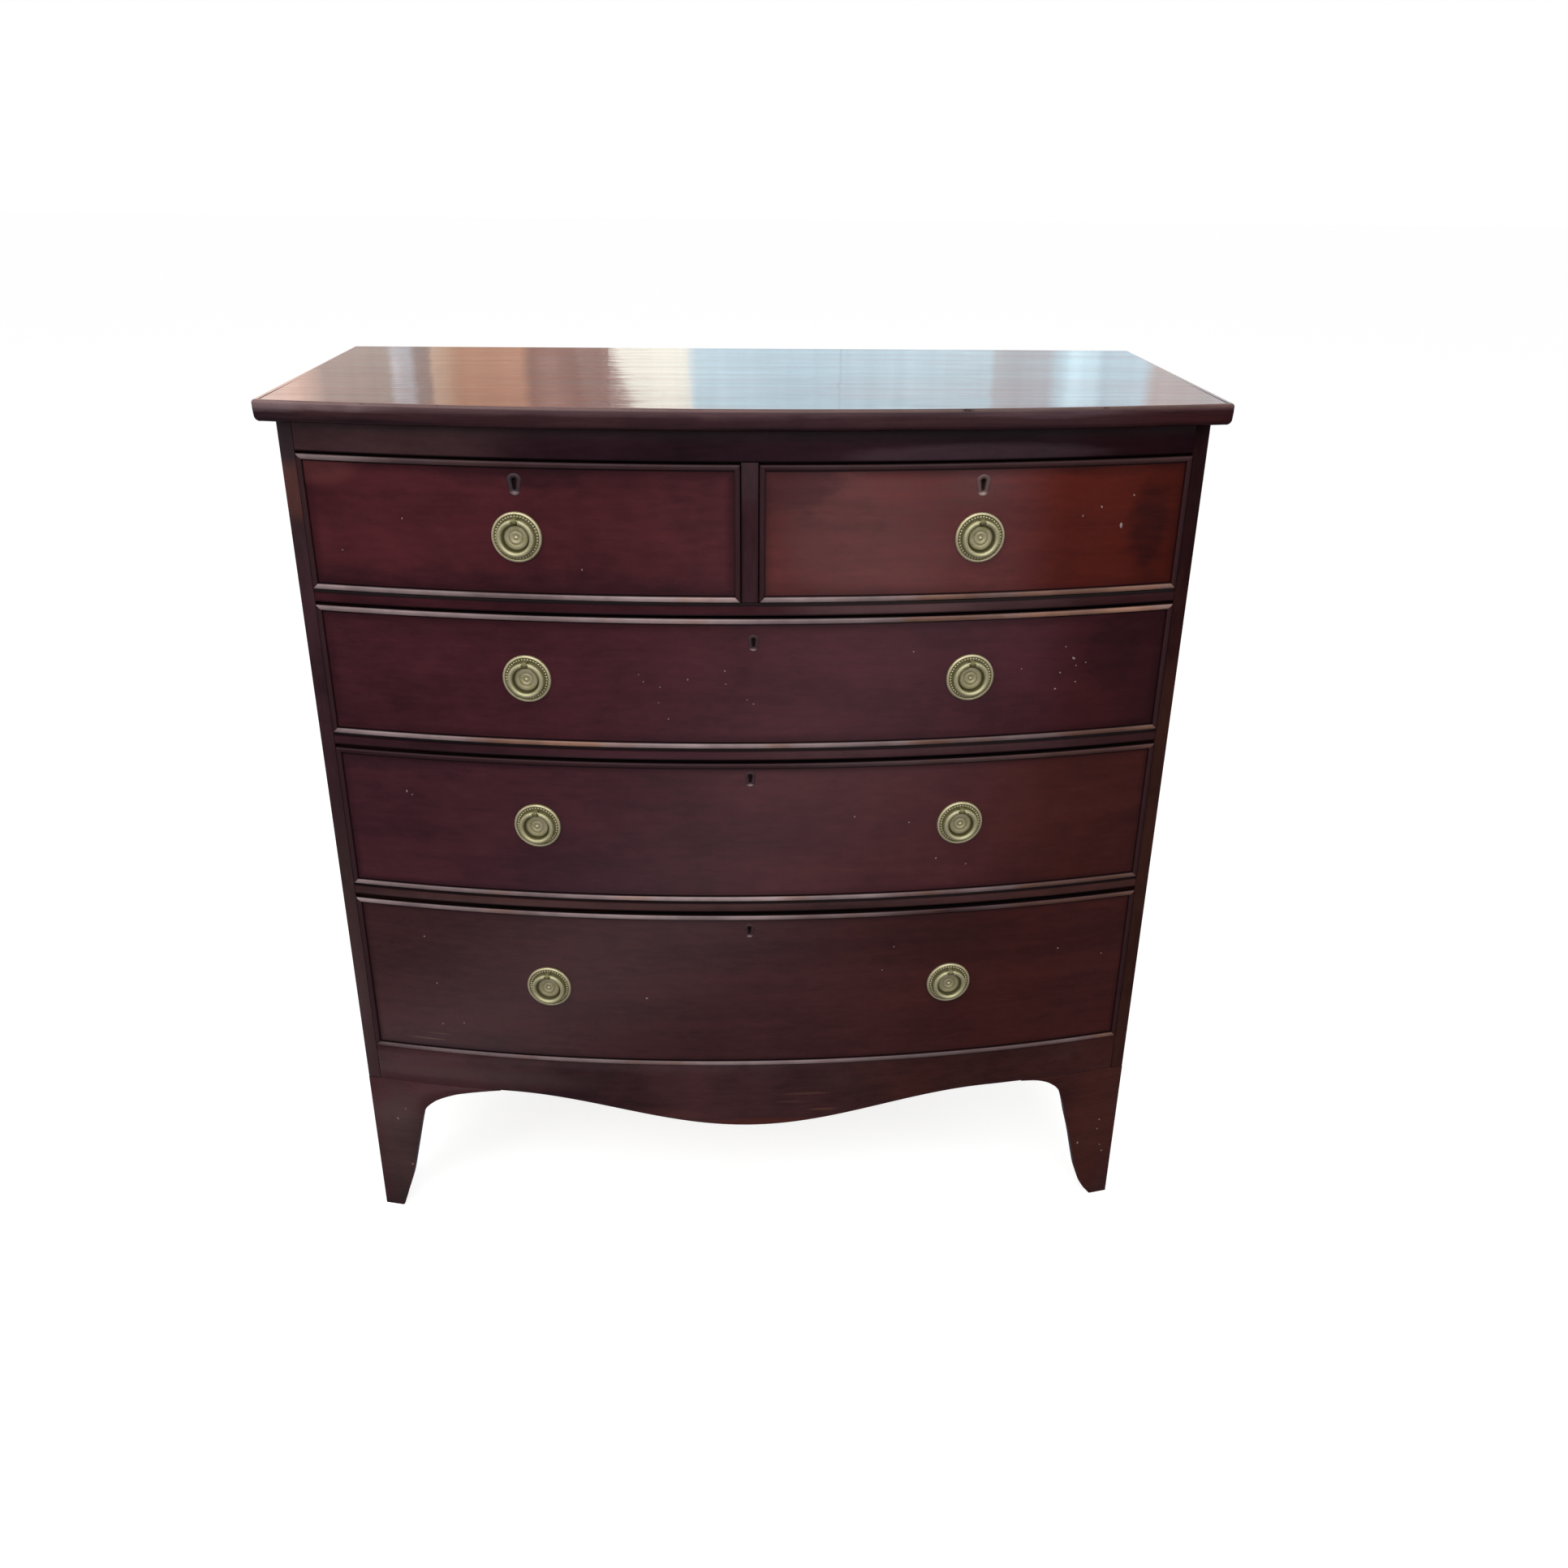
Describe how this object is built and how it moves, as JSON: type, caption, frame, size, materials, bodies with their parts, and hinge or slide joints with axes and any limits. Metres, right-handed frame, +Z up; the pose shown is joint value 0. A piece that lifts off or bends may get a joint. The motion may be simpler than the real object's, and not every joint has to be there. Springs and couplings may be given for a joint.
{
  "type": "bow front chest of drawers",
  "caption": "Bow front mahogany chest of drawers: short drawers over graduated long ones, cockbeaded fronts, brass ring pulls, a shaped apron and bracket feet.",
  "frame": {"origin": "the middle of the bounding box in plan, at floor level", "axes": "+X to the right across the front, +Y towards the back, +Z up; the bowed front faces -Y"},
  "size_m": [1.002, 0.465, 1.05],
  "materials": {
    "front_mahogany": "french polished mahogany, red-brown, glossy",
    "carcass_mahogany": "french polished mahogany, darker brown",
    "pine": "bare aged pine, dry and mellow",
    "brass": "old lacquered brass, dulled"
  },
  "bodies": {
    "carcass": {"top_board": "front_mahogany", "side_left": "carcass_mahogany", "side_right": "carcass_mahogany", "back_panel": "pine", "top_rail": "carcass_mahogany", "rail_upper": "carcass_mahogany", "rail_middle": "carcass_mahogany", "rail_lower": "carcass_mahogany", "muntin": "carcass_mahogany", "drawer_divider": "pine", "dustboard_upper": "pine", "dustboard_middle": "pine", "dustboard_lower": "pine", "bottom_board": "pine", "apron": "carcass_mahogany", "foot_front_left": "carcass_mahogany", "foot_front_right": "carcass_mahogany", "foot_back_left": "carcass_mahogany", "foot_back_right": "carcass_mahogany"},
    "drawer_short_left": {"drawer_short_left_front": "front_mahogany", "drawer_short_left_side_left": "pine", "drawer_short_left_side_right": "pine", "drawer_short_left_back": "pine", "drawer_short_left_bottom": "pine", "pull_short_left_plate": "brass"},
    "ring_short_left": {"pull_short_left_ring": "brass"},
    "drawer_short_right": {"drawer_short_right_front": "front_mahogany", "drawer_short_right_side_left": "pine", "drawer_short_right_side_right": "pine", "drawer_short_right_back": "pine", "drawer_short_right_bottom": "pine", "pull_short_right_plate": "brass"},
    "ring_short_right": {"pull_short_right_ring": "brass"},
    "drawer_upper": {"drawer_upper_front": "front_mahogany", "drawer_upper_side_left": "pine", "drawer_upper_side_right": "pine", "drawer_upper_back": "pine", "drawer_upper_bottom": "pine", "pull_upper_left_plate": "brass", "pull_upper_right_plate": "brass"},
    "ring_upper_left": {"pull_upper_left_ring": "brass"},
    "ring_upper_right": {"pull_upper_right_ring": "brass"},
    "drawer_middle": {"drawer_middle_front": "front_mahogany", "drawer_middle_side_left": "pine", "drawer_middle_side_right": "pine", "drawer_middle_back": "pine", "drawer_middle_bottom": "pine", "pull_middle_left_plate": "brass", "pull_middle_right_plate": "brass"},
    "ring_middle_left": {"pull_middle_left_ring": "brass"},
    "ring_middle_right": {"pull_middle_right_ring": "brass"},
    "drawer_lower": {"drawer_lower_front": "front_mahogany", "drawer_lower_side_left": "pine", "drawer_lower_side_right": "pine", "drawer_lower_back": "pine", "drawer_lower_bottom": "pine", "pull_lower_left_plate": "brass", "pull_lower_right_plate": "brass"},
    "ring_lower_left": {"pull_lower_left_ring": "brass"},
    "ring_lower_right": {"pull_lower_right_ring": "brass"}
  },
  "joints": [
    {"name": "drawer_short_left_slide", "type": "slide", "parent": "carcass", "child": "drawer_short_left", "axis": [0, -1, 0], "range_m": [0, 0.3]},
    {"name": "ring_short_left_swing", "type": "hinge", "parent": "drawer_short_left", "child": "ring_short_left", "pos_m": [-0.24185, -0.21492, 0.93409], "axis": [-0.9933, 0.1152, 0], "range_deg": [0, 95]},
    {"name": "drawer_short_right_slide", "type": "slide", "parent": "carcass", "child": "drawer_short_right", "axis": [0, -1, 0], "range_m": [0, 0.3]},
    {"name": "ring_short_right_swing", "type": "hinge", "parent": "drawer_short_right", "child": "ring_short_right", "pos_m": [0.24185, -0.21492, 0.93409], "axis": [-0.9933, -0.1152, 0], "range_deg": [0, 95]},
    {"name": "drawer_upper_slide", "type": "slide", "parent": "carcass", "child": "drawer_upper", "axis": [0, -1, 0], "range_m": [0, 0.3]},
    {"name": "ring_upper_left_swing", "type": "hinge", "parent": "drawer_upper", "child": "ring_upper_left", "pos_m": [-0.24185, -0.21492, 0.77834], "axis": [-0.9933, 0.1152, 0], "range_deg": [0, 95]},
    {"name": "ring_upper_right_swing", "type": "hinge", "parent": "drawer_upper", "child": "ring_upper_right", "pos_m": [0.24185, -0.21492, 0.77834], "axis": [-0.9933, -0.1152, 0], "range_deg": [0, 95]},
    {"name": "drawer_middle_slide", "type": "slide", "parent": "carcass", "child": "drawer_middle", "axis": [0, -1, 0], "range_m": [0, 0.3]},
    {"name": "ring_middle_left_swing", "type": "hinge", "parent": "drawer_middle", "child": "ring_middle_left", "pos_m": [-0.24185, -0.21492, 0.60084], "axis": [-0.9933, 0.1152, 0], "range_deg": [0, 95]},
    {"name": "ring_middle_right_swing", "type": "hinge", "parent": "drawer_middle", "child": "ring_middle_right", "pos_m": [0.24185, -0.21492, 0.60084], "axis": [-0.9933, -0.1152, 0], "range_deg": [0, 95]},
    {"name": "drawer_lower_slide", "type": "slide", "parent": "carcass", "child": "drawer_lower", "axis": [0, -1, 0], "range_m": [0, 0.3]},
    {"name": "ring_lower_left_swing", "type": "hinge", "parent": "drawer_lower", "child": "ring_lower_left", "pos_m": [-0.24185, -0.21492, 0.38459], "axis": [-0.9933, 0.1152, 0], "range_deg": [0, 95]},
    {"name": "ring_lower_right_swing", "type": "hinge", "parent": "drawer_lower", "child": "ring_lower_right", "pos_m": [0.24185, -0.21492, 0.38459], "axis": [-0.9933, -0.1152, 0], "range_deg": [0, 95]}
  ]
}
